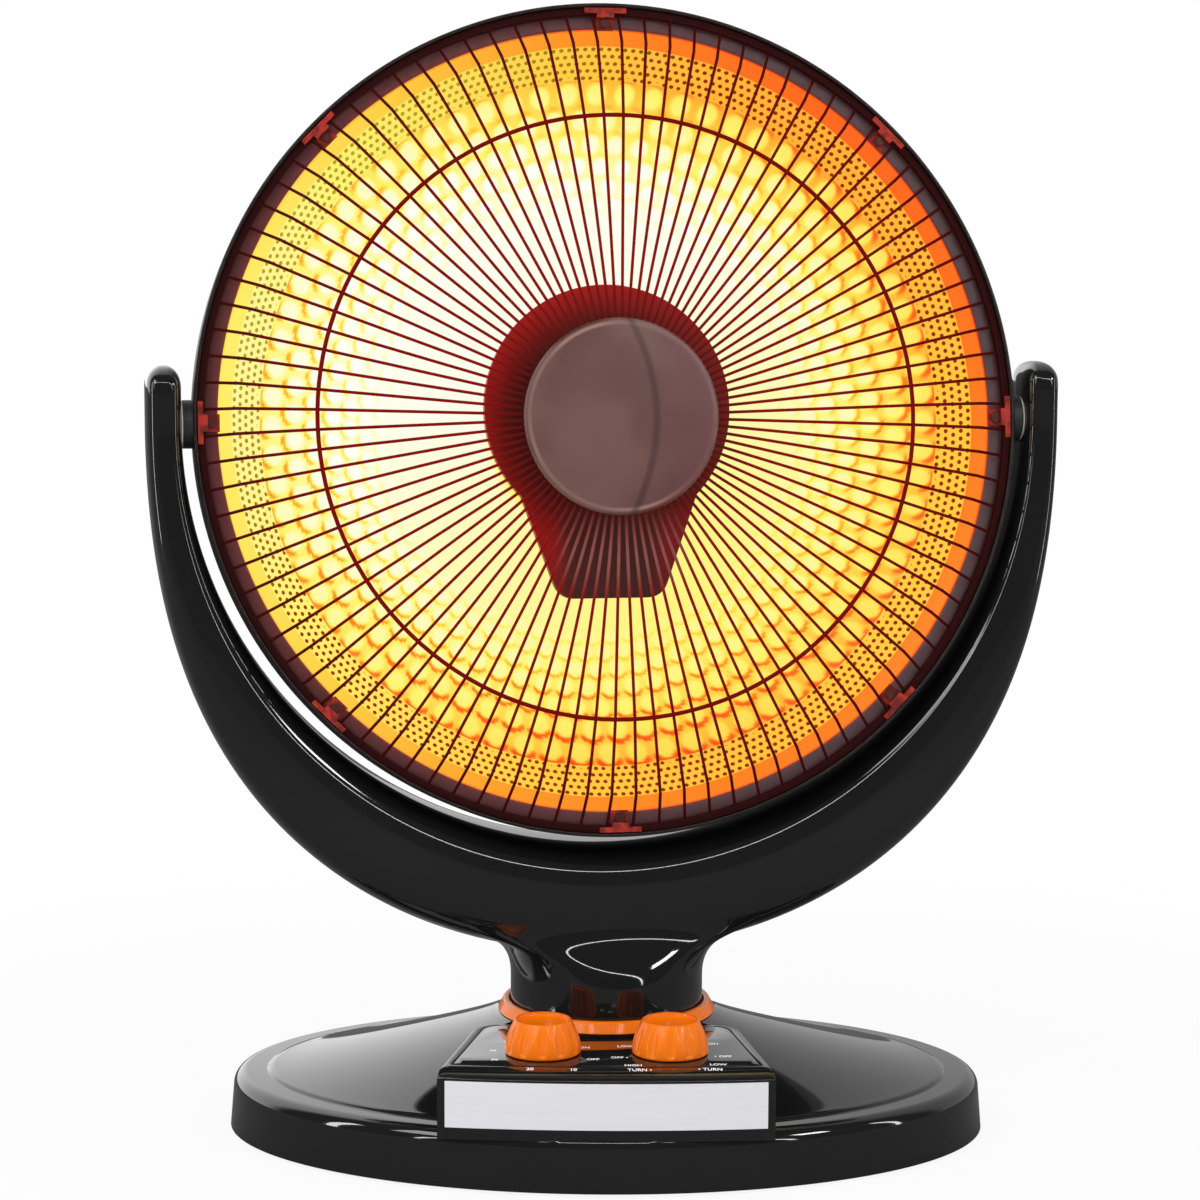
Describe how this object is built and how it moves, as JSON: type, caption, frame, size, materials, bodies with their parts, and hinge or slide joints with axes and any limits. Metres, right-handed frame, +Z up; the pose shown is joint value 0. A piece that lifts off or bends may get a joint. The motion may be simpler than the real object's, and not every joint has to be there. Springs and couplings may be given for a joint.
{
  "type": "parabolic heater",
  "caption": "Tabletop radiant heater: a glowing parabolic dish behind a radial wire grille, tilting in a crescent yoke that swings on an oval base with two control knobs.",
  "frame": {"origin": "on the floor, under the axis that the yoke swings about", "axes": "+Z up, -Y to the front of the base, +X to the right seen from the front"},
  "size_m": [0.3916, 0.2191, 0.4877],
  "materials": {
    "gloss_black": "high gloss black moulded plastic",
    "console_black": "gloss black moulded plastic",
    "panel_black": "mirror-smooth black control panel with pale printed marks",
    "plate_silver": "bare satin silver plate",
    "orange_plastic": "glossy orange plastic",
    "foot_rubber": "black rubber",
    "screw_steel": "zinc-plated steel",
    "zinc_steel": "bright zinc-plated sheet steel",
    "acetal": "natural acetal",
    "dark_plastic": "black heat-resisting plastic",
    "satin_black": "satin black moulded shell",
    "rim_paint": "black painted steel ring lit red by the element",
    "bright_aluminium": "bright hammered aluminium lit gold by the element",
    "grille_paint": "dark painted steel wire, red in the glow",
    "clip_paint": "dark painted steel clip, red in the glow",
    "cap_brown": "smooth brown cap with a soft sheen",
    "shield_steel": "dark painted steel shield, red hot in look",
    "quartz": "clear quartz tube",
    "element_wire": "glowing coiled element",
    "ceramic": "white steatite"
  },
  "bodies": {
    "base": {"base_shell": "gloss_black", "base_bottom": "zinc_steel", "base_feet": "foot_rubber", "base_screws": "screw_steel", "console_housing": "console_black", "console_panel": "panel_black", "front_plate": "plate_silver", "collar_ring": "orange_plastic", "hub_bearing": "acetal", "timer_body": "zinc_steel", "selector_body": "dark_plastic", "drive_motor": "zinc_steel", "tip_switch": "dark_plastic", "terminal_block": "acetal", "cord_gland": "foot_rubber"},
    "yoke": {"yoke_front": "gloss_black", "yoke_rear": "gloss_black", "yoke_screws": "screw_steel", "neck_plate": "zinc_steel", "neck_screws": "screw_steel", "pivot_post": "zinc_steel", "glide_washer": "acetal", "post_nut": "zinc_steel", "swing_arm": "zinc_steel", "pivot_bush_left": "acetal", "pivot_bush_right": "acetal"},
    "head": {"front_rim": "rim_paint", "reflector": "bright_aluminium", "rear_housing": "satin_black", "rear_cap": "satin_black", "pivot_pin_left": "dark_plastic", "pivot_pin_right": "dark_plastic", "tilt_washers": "acetal", "grille_wires": "grille_paint", "grille_ring": "grille_paint", "centre_cap": "cap_brown", "grille_clips": "clip_paint", "clip_screws": "screw_steel", "heat_shield": "shield_steel", "shield_stays": "zinc_steel", "quartz_tube": "quartz", "filament": "element_wire", "tube_holders": "ceramic", "tube_posts": "zinc_steel"},
    "crank": {"motor_crank": "acetal"},
    "timer": {"timer_knob": "orange_plastic", "timer_shaft": "screw_steel"},
    "selector": {"selector_knob": "orange_plastic", "selector_shaft": "screw_steel"},
    "plunger": {"tip_plunger": "acetal"}
  },
  "joints": [
    {"name": "head_swing", "type": "hinge", "parent": "base", "child": "yoke", "pos_m": [0, 0, 0.05], "axis": [0, 0, 1], "range_deg": [-45, 25]},
    {"name": "head_tilt", "type": "hinge", "parent": "yoke", "child": "head", "pos_m": [0, 0, 0.31], "axis": [-0.9848, -0.1736, 0], "range_deg": [-17.7, 22.3]},
    {"name": "crank_turn", "type": "hinge", "parent": "base", "child": "crank", "pos_m": [0, 0.027, 0.02], "axis": [0, 0, 1], "range_deg": [-160.8, 89.4]},
    {"name": "timer_turn", "type": "hinge", "parent": "base", "child": "timer", "pos_m": [-0.0266, -0.0718, 0.05], "axis": [0, 0, 1], "range_deg": [-296, 0]},
    {"name": "selector_turn", "type": "hinge", "parent": "base", "child": "selector", "pos_m": [0.0266, -0.0718, 0.05], "axis": [0, 0, 1], "continuous": true},
    {"name": "plunger_drop", "type": "slide", "parent": "base", "child": "plunger", "axis": [0, 0, -1], "range_m": [0, 0.0047]}
  ],
  "couplings": [
    {"joint": "crank_turn", "follows": "head_swing", "ratio": 3.5714}
  ]
}
